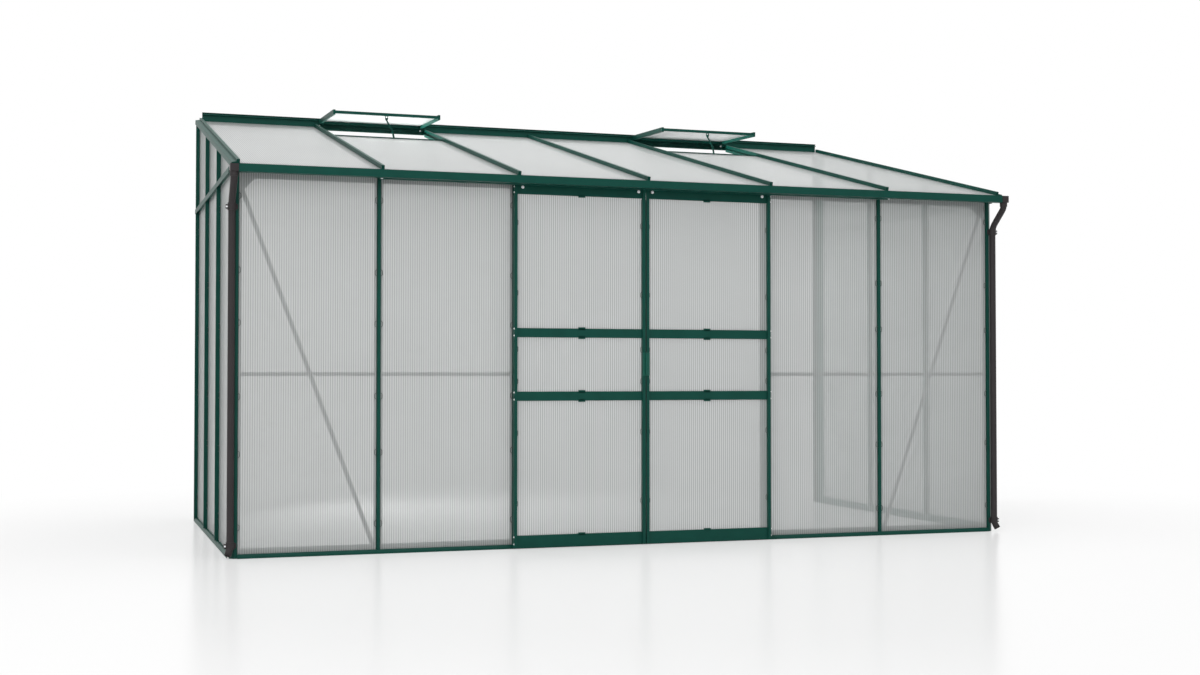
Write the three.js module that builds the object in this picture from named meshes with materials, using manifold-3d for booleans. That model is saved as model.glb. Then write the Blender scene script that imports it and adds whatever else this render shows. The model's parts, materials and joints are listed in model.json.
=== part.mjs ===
// Lean-to greenhouse: an aluminium frame glazed with twin-wall sheets, which stands against a house wall.
// Millimetres. X runs along the front, Y towards the house wall, Z up. The origin is on the ground,
// in the plane of the front panes, at the middle of the doorway.
import * as THREE from 'three';
import Module from 'manifold-3d';
import { mergeVertices } from 'three/addons/utils/BufferGeometryUtils.js';

const wasm = await Module();
wasm.setup();

// Driving sizes of the house
const bayPitch = 622;
const baysEachSide = 3;
const sidePitch = 622;
const sideBarCount = 2;
const sideStart = -15.5;
const eavesZ = 1709.2;
const roofAngle = THREE.MathUtils.degToRad(13.66);
const fit = 0.3;
const overrun = 5;
const halfWidth = bayPitch * baysEachSide;
const sin = Math.sin(roofAngle);
const cos = Math.cos(roofAngle);

// Twin-wall sheet, and the glazing bar: a rib between two panes, shoulders and a bolt channel
const sheet = { thickness: 6, edgeGap: 2 };
const halfSheet = sheet.thickness / 2;
const bar = { rib: 14, shoulder: 36, plate: 2.2, channel: 14, channelDepth: 14.5 };
const rise = { front: 10, side: 19, roof: 17.5 };
const shoulderFront = halfSheet + fit;
const shoulderBack = shoulderFront + bar.plate;
const channelBack = shoulderBack + bar.channelDepth;
const frontFace = -(halfSheet + rise.front);
const sideInset = 7;
const sideFace = sideInset + halfSheet + rise.side;

// Sill: a sloping nose, a seat for the panes and an upstand behind the bars
const sill = { nose: 22, noseRise: 9.4, seatEdge: 13.4, seat: 18, wall: 2, foot: 10, upstand: 40 };
const sillInner = channelBack + fit;
const sillBack = sillInner + sill.wall;

// Eaves beam, with the gutter in front of it
const gutter = { front: 142, width: 40, floorZ: 1649, lipZ: 1683, wall: 2.4 };
const gutterBack = gutter.width - gutter.front;
const beam = { soffitZ: 1667.3, skirt: 27, end: 1, wall: 2.4 };
const beamInner = channelBack + fit;
const beamRear = beamInner + beam.wall;
const seatDrop = shoulderBack + fit;
const barFoot = sill.seat + fit;
const barTop = beam.soffitZ - fit;

// Corner post and wall post
const post = { rib: 11.5, chamfer: 1, side: 20, bodyBack: 16, bodyInner: 9.3, shoulder: 26, ribBack: 14,
  sideShoulder: 32 };
const wallPost = { flange: 25, depth: 72.5 };
const wallRib = sideStart + (sideBarCount + 1) * sidePitch - bar.rib / 2;
const wallPlane = wallRib + wallPost.depth;

// Rafters, roof bars and the ridge plate on the house wall
const roof = { overhang: 94.7, nose: 2, skirtOut: 29, skirt: 16, skirtWall: 2.2, ledge: 5, channelIn: 5 };
const ridge = { above: 50.15, below: 14.85, wall: 2.4, hem: 9.5, flange: 38, flangeWall: 2.2, screwRise: 24.15 };
const ridgeLineZ = roofZ(wallPlane, 0);
const ridgeTopZ = ridgeLineZ + ridge.above;
const ridgeFace = wallPlane - ridge.wall;
const ridgeEnd = halfWidth - bar.rib / 2 - fit;

// Eaves rail across the outside of each side wall
const rail = { front: 2, topZ: 1685, face: 26, webZ: 1669, wall: 2.2 };

// Sliding doors, their rollers and track
const door = { halfGap: 2.5, edge: 635, front: 57, depth: 30, stile: 14, recess: 10, railDepth: 14,
  topPlate: 4, topCover: 0.5, bottomZ: 4.6, notchZ: 1606, topDepth: 14, sheetBack: 22 };
const doorRail = { bottomTopZ: 61, lowZ: 670, low: 42, highZ: 958.8, high: 41.6, topZ: 1609.6 };
const track = { front: 98, rear: 22, lipZ: 1646, wall: 1.8, rearLip: 9, rimSetback: 22, rim: 2, end: 12 };
const roller = { clearance: 0.5, grooveDepth: 1.5, slot: 3.4, slope: 0.8, width: 10, innerInset: 31.5,
  outerInset: 40 };
const axle = { radius: 3, collar: 5.5, nut: 3 };
const hanger = { z: 1641, head: 6.5, crown: 5, headHeight: 3.2 };
const stop = { inset: 6, z: 1652, radius: 4, head: 6, headHeight: 3, reach: 52 };
const handle = { bottomZ: 785, height: 106, plate: 2, reach: 14, grip: 2.5 };
const skid = { inset: 60, length: 30, bottomZ: 6, height: 14, gap: 0.5 };

// Roof vents, with the sill that each one closes onto and the stay that props it open
const ventBays = [-2, 1];
const vent = { sideGap: 21, length: 496.5, hingeSetback: 11, hingeRise: 38.45, rail: 12, top: 6, bottom: 20,
  frontTop: 1, frontBottom: 14, sheetDrop: 2, bead: 3, neck: 2, hook: 5.6,
  openTilt: THREE.MathUtils.degToRad(2.66), mouth: THREE.MathUtils.degToRad(60) };
const hinge = { y: wallPlane - vent.hingeSetback, z: ridgeLineZ + vent.hingeRise };
const ventSill = { setIn: 24.5, wall: 2.4, upstand: 8, drip: 10 };
const stay = { setback: 23.5, drop: 26, width: 10, thickness: 3, eye: 4.5, pin: 2, neckDrop: 8, kneeX: 33,
  kneeDrop: 62, footX: 41, footDrop: 102, lean: THREE.MathUtils.degToRad(2.07) };
const lug = { plate: 2, width: 18, gap: 0.4, ear: 2, earDepth: 10 };
const catchPlate = { length: 12, thickness: 2.4, gap: 0.5 };

// Rainwater pipes: an outlet on each end of the gutter, a swan neck, a downpipe and a shoe
const pipe = { radius: 15.2, bore: 12.7, out: 18.5, forward: 21, topOut: 19.5, topForward: 121, kickOut: 11 };
const pipeZ = { neckTop: 1646, bend: 1626, elbow: 1530, joint: 1501, shoeTop: 63, kick: 42, mouth: 15 };
const outlet = { end: 37, wall: 2.4, stub: 18, stubZ: 1630 };
const collar = { radius: 17.6, height: 22, lug: 9, lugThickness: 6, strap: 8, strapThickness: 2.3 };
const screw = { radius: 6, height: 3, small: 3.5, smallHeight: 1.5, sink: 0.5 };
const cornerShare = 0.08;
const weldShare = 0.2;

const facets = { pipe: 24, bend: 12, bendSteps: 14, shoeSteps: 8, wheel: 28, axle: 14, bead: 12, hook: 12,
  eye: 12, screw: 10 };
const finishes = {
  frame: { color: 0x1a4d40, roughness: 0.42, metalness: 0.25 },
  sheet: { color: 0xdfe5e3, roughness: 0.25, metalness: 0, transparent: true, opacity: 0.5 },
  pipe: { color: 0x3a3a3b, roughness: 0.55, metalness: 0 },
  nylon: { color: 0xe6e4dc, roughness: 0.5, metalness: 0 },
};

/** Height of the plane `normal` above the middle of the roof panes, at a distance from the front. */
function roofZ(y, normal) {
  return eavesZ + y * Math.tan(roofAngle) + normal / cos;
}

/** Extrudes an outline along an axis. Its points hold the two other axes in the order X, Y, Z. */
function along(axis, outline, a, b, holes = []) {
  const from = Math.min(a, b);
  const to = Math.max(a, b);
  const points = (list) => list.map(([u, v]) => new THREE.Vector2(u, v));
  const shape = new THREE.Shape(points(outline));
  shape.holes = holes.map((hole) => new THREE.Path(points(hole)));
  const geometry = new THREE.ExtrudeGeometry(shape, { depth: to - from, bevelEnabled: false });
  const x = new THREE.Vector3(1, 0, 0);
  const y = new THREE.Vector3(0, 1, 0);
  const z = new THREE.Vector3(0, 0, 1);
  if (axis === 'x') {
    geometry.applyMatrix4(new THREE.Matrix4().makeBasis(y, z, x));
    return geometry.translate(from, 0, 0);
  }
  if (axis === 'y') {
    geometry.applyMatrix4(new THREE.Matrix4().makeBasis(x, z, y.negate()));
    return geometry.translate(0, to, 0);
  }
  return geometry.translate(0, 0, from);
}

/** A box between two corners. */
function block([x0, y0, z0], [x1, y1, z1]) {
  const geometry = new THREE.BoxGeometry(Math.abs(x1 - x0), Math.abs(y1 - y0), Math.abs(z1 - z0));
  return geometry.translate((x0 + x1) / 2, (y0 + y1) / 2, (z0 + z1) / 2);
}

/** A solid of revolution about Y, from [radius, y] points that start and end on the axis or close. */
function turned(profile, count) {
  return new THREE.LatheGeometry(profile.map(([r, y]) => new THREE.Vector2(r, y)), count);
}

/** Points of an arc about a centre. */
function arc(radius, from, to, steps, [a, b] = [0, 0]) {
  return Array.from({ length: steps + 1 }, (_, i) => {
    const angle = from + ((to - from) * i) / steps;
    return [a + radius * Math.cos(angle), b + radius * Math.sin(angle)];
  });
}

function circle(radius, count, centre) {
  return arc(radius, 0, 2 * Math.PI, count, centre).slice(1);
}

function toSolid(geometry) {
  const bare = geometry.clone();
  bare.deleteAttribute('normal');
  bare.deleteAttribute('uv');
  const merged = mergeVertices(bare);
  return new wasm.Manifold(new wasm.Mesh({
    numProp: 3,
    vertProperties: new Float32Array(merged.attributes.position.array),
    triVerts: new Uint32Array(merged.index.array),
  }));
}

function fromSolid(solid) {
  const mesh = solid.getMesh();
  const geometry = new THREE.BufferGeometry();
  geometry.setAttribute('position', new THREE.BufferAttribute(new Float32Array(mesh.vertProperties), 3));
  geometry.setIndex(new THREE.BufferAttribute(new Uint32Array(mesh.triVerts), 1));
  return geometry;
}

function cut(geometry, ...tools) {
  return fromSolid(tools.reduce((solid, tool) => solid.subtract(toSolid(tool)), toSolid(geometry)));
}

function join(geometry, ...others) {
  return fromSolid(others.reduce((solid, other) => solid.add(toSolid(other)), toSolid(geometry)));
}

/** Adds one sub-part to its group, as a mesh with a material of its own. */
function add(group, name, finish, geometry, position = [0, 0, 0]) {
  const mesh = new THREE.Mesh(geometry, new THREE.MeshStandardMaterial(finishes[finish]));
  mesh.name = name;
  mesh.position.set(...position);
  group.add(mesh);
}

/** Glazing bar section as [across, out]. */
function barOutline(ribRise) {
  const half = [
    [bar.rib / 2, halfSheet + ribRise], [bar.rib / 2, -shoulderFront],
    [bar.shoulder / 2, -shoulderFront], [bar.shoulder / 2, -shoulderBack],
    [bar.channel / 2, -shoulderBack], [bar.channel / 2, -channelBack]];
  const mirrored = half.map(([across, out]) => [-across, out]).reverse();
  return [...half, ...mirrored];
}

/** Sill section as [out, z]. */
function sillOutline() {
  const { nose, noseRise, seatEdge, seat, wall, foot, upstand } = sill;
  return [
    [nose, 0], [nose, noseRise], [seatEdge, seat], [-sillInner, seat], [-sillInner, upstand],
    [-sillBack, upstand], [-sillBack, 0], [foot, 0], [foot, wall], [-sillInner, wall],
    [-sillInner, seat - wall], [seatEdge - wall / 2, seat - wall], [nose - wall, noseRise - wall / 2],
    [nose - wall, 0]];
}

const house = new THREE.Group();
const sides = [['left', -1], ['right', 1]];
const bays = Array.from({ length: 2 * baysEachSide }, (_, i) => i - baysEachSide);
const sideLines = Array.from({ length: sideBarCount }, (_, i) => sideStart + (i + 1) * sidePitch);
const ribClear = bar.rib / 2 + sheet.edgeGap;

// Front wall: sill, four uprights and a pane in each bay beside the doorway
const sillEnd = halfWidth - post.rib - fit;
add(house, 'front_sill', 'frame',
  along('x', sillOutline().map(([out, z]) => [-out, z]), -sillEnd, sillEnd));

const uprights = [['front_bar_left', -2], ['door_jamb_left', -1], ['door_jamb_right', 1],
  ['front_bar_right', 2]];
uprights.forEach(([name, line]) => {
  const outline = barOutline(rise.front).map(([across, out]) => [across, -out]);
  add(house, name, 'frame', along('z', outline, barFoot, barTop), [line * bayPitch, 0, 0]);
});

const glazedBays = bays.filter((bay) => bay !== -1 && bay !== 0);
glazedBays.forEach((bay, i) => {
  const cornerClear = post.rib + sheet.edgeGap;
  const left = bay * bayPitch + (bay === -baysEachSide ? cornerClear : ribClear);
  const right = (bay + 1) * bayPitch - (bay + 1 === baysEachSide ? cornerClear : ribClear);
  add(house, `front_pane_${i + 1}`, 'sheet',
    block([left, -halfSheet, barFoot], [right, halfSheet, barTop]));
});

// Eaves beam and gutter: one extrusion, a hollow beam behind an open channel
function beamOutline() {
  const { floorZ, lipZ, wall } = gutter;
  const front = -gutter.front;
  const back = gutterBack - wall;
  return [
    [front, floorZ], [front, lipZ], [front + wall, lipZ], [front + wall, floorZ + wall],
    [back, floorZ + wall], [back, roofZ(back, -seatDrop)], [beamRear, roofZ(beamRear, -seatDrop)],
    [beamRear, barTop - beam.skirt], [beamInner, barTop - beam.skirt], [beamInner, beam.soffitZ],
    [gutterBack, beam.soffitZ], [gutterBack, floorZ]];
}

function beamHollow() {
  const floor = beam.soffitZ + beam.wall;
  const under = seatDrop + beam.wall;
  return [[gutterBack, floor], [beamInner, floor], [beamInner, roofZ(beamInner, -under)],
    [gutterBack, roofZ(gutterBack, -under)]];
}

const beamEnd = halfWidth + beam.end;
add(house, 'eaves_beam', 'frame', along('x', beamOutline(), -beamEnd, beamEnd, [beamHollow()]));

// Door track under the beam: a channel whose foot ends in a rim, with the rollers running on it
const channelFloor = track.lipZ + track.wall;
const channelRoof = barTop - track.wall;
const rollerY = track.rimSetback - track.front;
const rollerZ = (channelFloor + channelRoof) / 2;
const rollerRadius = (channelRoof - channelFloor) / 2 - roller.clearance;
const grooveRadius = rollerRadius - roller.grooveDepth;
const rimTop = rollerZ - grooveRadius - fit;

function trackOutline() {
  const { lipZ, wall, rearLip, rim } = track;
  const front = -track.front;
  const rear = -track.rear;
  const rimFront = rollerY - rim / 2;
  return [
    [front, lipZ], [front, barTop], [rear, barTop], [rear, barTop - rearLip],
    [rear - wall, barTop - rearLip], [rear - wall, channelRoof], [front + wall, channelRoof],
    [front + wall, channelFloor], [rimFront, channelFloor], [rimFront, rimTop],
    [rimFront + rim, rimTop], [rimFront + rim, lipZ]];
}

const trackEnd = 2 * bayPitch + track.end;
const doorStops = sides.map(([, s]) => {
  const front = -track.front;
  const bolt = turned([
    [0, front - stop.headHeight], [stop.head, front - stop.headHeight], [stop.head, front + track.wall / 2],
    [stop.radius, front + track.wall / 2], [stop.radius, front + stop.reach], [0, front + stop.reach],
  ], facets.axle);
  return bolt.translate(s * (trackEnd - stop.inset), 0, stop.z);
});
add(house, 'door_track', 'frame', join(along('x', trackOutline(), -trackEnd, trackEnd), ...doorStops));

// Side walls, drawn as distances outboard of the end line of bars
function cornerOutline() {
  const { rib, chamfer, side, bodyBack, bodyInner, shoulder, ribBack, sideShoulder } = post;
  const inner = sideInset - shoulderFront;
  const deep = sideInset - shoulderBack;
  return [
    [-rib, frontFace], [chamfer, frontFace], [side, frontFace + side - chamfer], [side, ribBack],
    [inner, ribBack], [inner, sideShoulder], [deep, sideShoulder], [deep, bodyBack],
    [-bodyInner, bodyBack], [-bodyInner, shoulderBack], [-shoulder, shoulderBack],
    [-shoulder, shoulderFront], [-rib, shoulderFront]];
}

function wallPostOutline() {
  const inner = sideInset - shoulderFront;
  const deep = sideInset - shoulderBack;
  const outer = sideInset + halfSheet;
  const toe = wallRib - bar.rib;
  return [
    [inner, toe], [inner, wallRib], [sideFace, wallRib], [sideFace, wallRib + bar.rib],
    [outer, wallRib + bar.rib], [outer, wallPlane], [-wallPost.flange, wallPlane],
    [-wallPost.flange, wallPlane - bar.plate], [deep, wallPlane - bar.plate], [deep, toe]];
}

/** A large block whose underside is the roof plane at `normal`, to cut the uprights with. */
function aboveRoof(normal, from, to) {
  const back = wallPlane + overrun;
  const top = ridgeTopZ + ridgeTopZ;
  return along('x', [[-overrun, roofZ(-overrun, normal)], [back, roofZ(back, normal)], [back, top],
    [-overrun, top]], from, to);
}

function sideWall([side, s]) {
  const wall = new THREE.Group();
  wall.position.x = s * halfWidth;
  house.add(wall);
  const outboard = (points) => points.map(([out, other]) => [s * out, other]);
  const inner = sideInset - shoulderFront;
  const deep = sideInset - shoulderBack;
  const roofCut = aboveRoof(-(roof.skirt + fit), -s * (wallPost.flange + overrun), s * (sideFace + overrun));

  // Below their shoulders the posts leave room for the ends of the sills
  const frontToe = block([-s * (post.shoulder + overrun), shoulderFront - fit, -overrun],
    [-s * post.rib, shoulderBack + fit, barFoot]);
  const sideToe = block([s * (deep - fit), post.bodyBack, -overrun],
    [s * (inner + fit), post.sideShoulder + overrun, barFoot]);
  add(wall, `${side}_corner_post`, 'frame',
    cut(along('z', outboard(cornerOutline()), 0, barTop), frontToe, sideToe));

  const wallToe = block([s * (deep - fit), wallRib - bar.rib - overrun, -overrun],
    [s * (inner + fit), wallRib, barFoot]);
  add(wall, `${side}_wall_post`, 'frame',
    cut(along('z', outboard(wallPostOutline()), 0, ridgeTopZ), wallToe, roofCut));

  const sillSection = sillOutline().map(([out, z]) => [s * (sideInset + out), z]);
  add(wall, `${side}_sill`, 'frame', along('y', sillSection, sillBack + fit, wallRib - fit));

  sideLines.forEach((line, i) => {
    const section = barOutline(rise.side).map(([across, out]) => [s * (sideInset + out), line + across]);
    add(wall, `${side}_bar_${i + 1}`, 'frame', cut(along('z', section, barFoot, ridgeTopZ), roofCut));
  });

  // The rail's face lies on the ribs, and its web reaches in to the panes between them
  const faceIn = sideFace + fit;
  const faceOut = faceIn + rail.wall;
  const railFace = block([s * faceIn, -rail.front, rail.topZ - rail.face],
    [s * faceOut, wallRib + bar.rib, rail.topZ]);
  const web = block([s * (sideInset + shoulderFront), post.ribBack + fit, rail.webZ],
    [s * (faceIn + rail.wall / 2), wallRib - fit, rail.webZ + rail.wall]);
  const slots = sideLines.map((line) => block(
    [s * inner, line - bar.rib / 2 - fit, rail.webZ - overrun],
    [s * faceIn, line + bar.rib / 2 + fit, rail.webZ + rail.wall + overrun]));
  add(wall, `${side}_eaves_rail`, 'frame', join(railFace, cut(web, ...slots)));

  // One sheet from the sill to the rafter in each bay
  const starts = [post.ribBack, ...sideLines.map((line) => line + bar.rib / 2)];
  const ends = [...sideLines.map((line) => line - bar.rib / 2), wallRib];
  starts.forEach((start, i) => {
    const from = start + fit;
    const to = ends[i] - fit;
    const outline = [[from, barFoot], [to, barFoot], [to, roofZ(to, -seatDrop)],
      [from, roofZ(from, -seatDrop)]];
    add(wall, `${side}_pane_${i + 1}`, 'sheet',
      along('x', outline, s * (sideInset - halfSheet), s * (sideInset + halfSheet)));
  });
}
sides.forEach(sideWall);

// Roof, drawn flat and tilted: Y runs up the slope, Z is the distance from the middle of the panes
const slope = new THREE.Group();
slope.position.z = eavesZ;
slope.rotation.x = roofAngle;
house.add(slope);
const slopeTop = (ridgeFace - fit - shoulderBack * sin) / cos;
const channelFoot = (beamRear + fit) / cos;
const channelTop = (wallPlane - ridge.flange - fit - channelBack * sin) / cos;

/** Blocks that clear a bar's channel over the eaves beam and the ridge plate's flange. */
function seats(from, to) {
  const low = -channelBack - overrun;
  return [
    block([from, -roof.overhang - overrun, low], [to, channelFoot, -shoulderBack]),
    block([from, channelTop, low], [to, slopeTop + overrun, -shoulderBack])];
}

const barLines = bays.slice(1);
barLines.forEach((line, i) => {
  const section = along('y', barOutline(rise.roof), -roof.overhang, slopeTop);
  const nose = block([-bar.rib / 2, -roof.overhang - roof.nose, -shoulderFront],
    [bar.rib / 2, -roof.overhang + roof.nose, halfSheet + rise.roof]);
  add(slope, `roof_bar_${i + 1}`, 'frame', cut(join(section, nose), ...seats(-bar.shoulder, bar.shoulder)),
    [line * bayPitch, 0, 0]);
});

// Rafter over each side wall: half a roof bar, with a skirt down the outside
function rafterOutline() {
  const { skirtOut, skirt, skirtWall, ledge, channelIn } = roof;
  const top = halfSheet + rise.roof;
  const shelf = halfSheet + ledge;
  const channelOut = bar.rib / 2 - channelIn;
  return [
    [-bar.rib / 2, top], [bar.rib / 2, top], [bar.rib / 2, shelf + skirtWall],
    [skirtOut - skirtWall, ledge + skirtWall], [skirtOut, ledge], [skirtOut, -skirt],
    [skirtOut - skirtWall, -skirt], [skirtOut - skirtWall, ledge - skirtWall / 2],
    [skirtOut - 2 * skirtWall, ledge], [bar.rib / 2, shelf - skirtWall / 2],
    [bar.rib / 2, -shoulderBack], [channelOut, -shoulderBack], [channelOut, -skirt],
    [channelOut - bar.channel, -skirt], [channelOut - bar.channel, -shoulderBack],
    [-bar.shoulder / 2, -shoulderBack], [-bar.shoulder / 2, -shoulderFront], [-bar.rib / 2, -shoulderFront]];
}

/** Plate that closes the rafter's lower end, behind the skirt too. */
function rafterEndOutline() {
  const { skirtOut, skirt, skirtWall, ledge } = roof;
  const top = halfSheet + rise.roof;
  return [
    [-bar.rib / 2, top], [bar.rib / 2, top], [bar.rib / 2, halfSheet + ledge + skirtWall],
    [skirtOut - skirtWall, ledge + skirtWall], [skirtOut, ledge], [skirtOut, -skirt], [bar.rib / 2, -skirt],
    [bar.rib / 2, -shoulderFront], [-bar.rib / 2, -shoulderFront]];
}

sides.forEach(([side, s]) => {
  const outboard = (points) => points.map(([out, normal]) => [s * out, normal]);
  const inside = -s * bar.shoulder;
  const underSkirt = s * (roof.skirtOut - 2 * roof.skirtWall);
  const open = along('y', outboard(rafterOutline()), -roof.overhang, slopeTop);
  const end = along('y', outboard(rafterEndOutline()), -roof.overhang - roof.nose, -roof.overhang + roof.nose);
  add(slope, `${side}_rafter`, 'frame', join(cut(open, ...seats(inside, underSkirt)), end),
    [s * halfWidth, 0, 0]);
});

// Sill of a vent, on the top edge of the short pane below it: an upstand and a drip
const ventSillFoot = (hinge.y - vent.length + ventSill.setIn + halfSheet * sin) / cos;

function ventSillOutline() {
  const { wall, upstand, drip } = ventSill;
  const back = ventSillFoot + wall;
  return [
    [ventSillFoot, -halfSheet], [back, -halfSheet], [back, upstand], [ventSillFoot, upstand],
    [ventSillFoot, halfSheet + wall], [ventSillFoot - drip, halfSheet + wall],
    [ventSillFoot - drip, halfSheet], [ventSillFoot, halfSheet]];
}

function ventSillSolid() {
  const reach = bayPitch / 2 - bar.rib / 2 - fit;
  const catchX = stay.footX + stay.width / 2 + catchPlate.gap;
  const start = ventSillFoot + ventSill.wall / 2;
  const plate = block([catchX, start, -halfSheet],
    [catchX + catchPlate.thickness, start + catchPlate.length, ventSill.upstand]);
  return join(along('x', ventSillOutline(), -reach, reach), plate);
}

bays.forEach((bay, i) => {
  const reach = bayPitch / 2 - ribClear;
  const foot = -roof.overhang + roof.nose + fit;
  const sheetTo = (top) => block([-reach, foot, -halfSheet], [reach, top, halfSheet]);
  const geometry = ventBays.includes(bay)
    ? join(sheetTo(ventSillFoot + ventSill.wall / 2), ventSillSolid())
    : sheetTo(slopeTop);
  add(slope, `roof_pane_${i + 1}`, 'sheet', geometry, [(bay + 1 / 2) * bayPitch, 0, 0]);
});

// Ridge plate: a flange that the roof lies on, and a bead along it that the vents hang from
function ridgeOutline() {
  const { below, wall, hem, flange, flangeWall } = ridge;
  const topZ = ridgeTopZ;
  const footZ = ridgeLineZ - below;
  const flangeFront = wallPlane - flange;
  const under = seatDrop + flangeWall;
  const halfNeck = vent.neck / 2;
  const open = Math.asin(halfNeck / vent.bead);
  return [
    [wallPlane, topZ], [wallPlane - hem, topZ], [wallPlane - hem, topZ - wall], [ridgeFace, topZ - wall],
    [ridgeFace, hinge.z + halfNeck],
    ...arc(vent.bead, open, 2 * Math.PI - open, facets.bead, [hinge.y, hinge.z]),
    [ridgeFace, hinge.z - halfNeck], [ridgeFace, roofZ(ridgeFace, -seatDrop)],
    [flangeFront, roofZ(flangeFront, -seatDrop)], [flangeFront, roofZ(flangeFront, -under)],
    [ridgeFace, roofZ(ridgeFace, -under)], [ridgeFace, footZ], [wallPlane, footZ]];
}

const wallScrews = bays.map((bay) => turned([
  [0, ridgeFace - screw.height], [screw.radius, ridgeFace - screw.height],
  [screw.radius, ridgeFace + screw.sink], [0, ridgeFace + screw.sink],
], facets.screw).translate((bay + 1 / 2) * bayPitch, 0, ridgeLineZ + ridge.screwRise));
add(house, 'ridge_plate', 'frame', join(along('x', ridgeOutline(), -ridgeEnd, ridgeEnd), ...wallScrews));

// Roof vents, drawn from the hinge: the leaf runs to negative Y
function ventLeaf([side], i) {
  const leaf = new THREE.Group();
  leaf.position.set((ventBays[i] + 1 / 2) * bayPitch, hinge.y, hinge.z);
  leaf.rotation.x = vent.openTilt;
  house.add(leaf);
  const { length, top, bottom, frontTop, frontBottom, hook, bead, mouth } = vent;
  const half = bayPitch / 2 - vent.sideGap;
  const hookInner = bead + fit;
  const rearBack = -(hook + hookInner) / 2;
  const rearFront = -hook - vent.rail;
  const frontBack = -length + vent.rail;
  const hookStrip = along('x', [
    ...arc(hook, mouth, 2 * Math.PI - mouth, facets.hook),
    ...arc(hookInner, 2 * Math.PI - mouth, mouth, facets.hook)], -half, half);
  const rear = block([-half, rearFront, -bottom], [half, rearBack, top]);
  const front = block([-half, -length, -frontBottom], [half, frontBack, frontTop]);
  const sideRails = [-1, 1].map((s) => block([s * half, -length, -bottom],
    [s * (half - vent.rail), rearBack, top]));

  // Two ears under a plate behind the front rail hold the pin of the stay
  const pinY = -length + stay.setback;
  const earIn = stay.width / 2 + lug.gap;
  const earOut = earIn + lug.ear;
  const plateTop = -frontBottom + lug.plate;
  const plate = block([-lug.width / 2, frontBack - lug.plate, -frontBottom],
    [lug.width / 2, pinY + lug.earDepth / 2, plateTop]);
  const ears = [-1, 1].map((s) => block([s * earIn, pinY - lug.earDepth / 2, -stay.drop - lug.earDepth / 2],
    [s * earOut, pinY + lug.earDepth / 2, plateTop]));
  const pin = new THREE.CylinderGeometry(stay.pin, stay.pin, 2 * earIn + lug.ear, facets.eye);
  pin.rotateZ(Math.PI / 2);
  pin.translate(0, pinY, -stay.drop);
  add(leaf, `vent_${side}_frame`, 'frame',
    join(rear, hookStrip, front, ...sideRails, plate, ...ears, pin));

  const sheetHalf = half - vent.rail - fit;
  add(leaf, `vent_${side}_pane`, 'sheet', block(
    [-sheetHalf, frontBack + fit, -vent.sheetDrop - halfSheet],
    [sheetHalf, rearFront - fit, -vent.sheetDrop + halfSheet]));

  // Stay: a strap with a rolled eye, bent sideways at a knee, whose foot stands behind the vent's sill
  const arm = new THREE.Group();
  arm.position.set(0, pinY, -stay.drop);
  arm.rotation.x = stay.lean - vent.openTilt;
  leaf.add(arm);
  const edge = stay.width / 2;
  const flat = stay.thickness / 2;
  const strap = along('y', [
    [-edge, 0], [edge, 0], [edge, -stay.neckDrop], [stay.kneeX + edge, -stay.kneeDrop],
    [stay.footX + edge, -stay.footDrop], [stay.footX - edge, -stay.footDrop],
    [stay.kneeX - edge, -stay.kneeDrop], [-edge, -stay.neckDrop]], -flat, flat);
  const barrel = new THREE.CylinderGeometry(stay.eye, stay.eye, stay.width, facets.eye);
  barrel.rotateZ(Math.PI / 2);
  const bore = new THREE.CylinderGeometry(stay.pin + fit, stay.pin + fit, stay.width + overrun, facets.eye);
  bore.rotateZ(Math.PI / 2);
  add(arm, `vent_${side}_stay`, 'frame', cut(join(strap, barrel), bore));
}
sides.forEach(ventLeaf);

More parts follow.
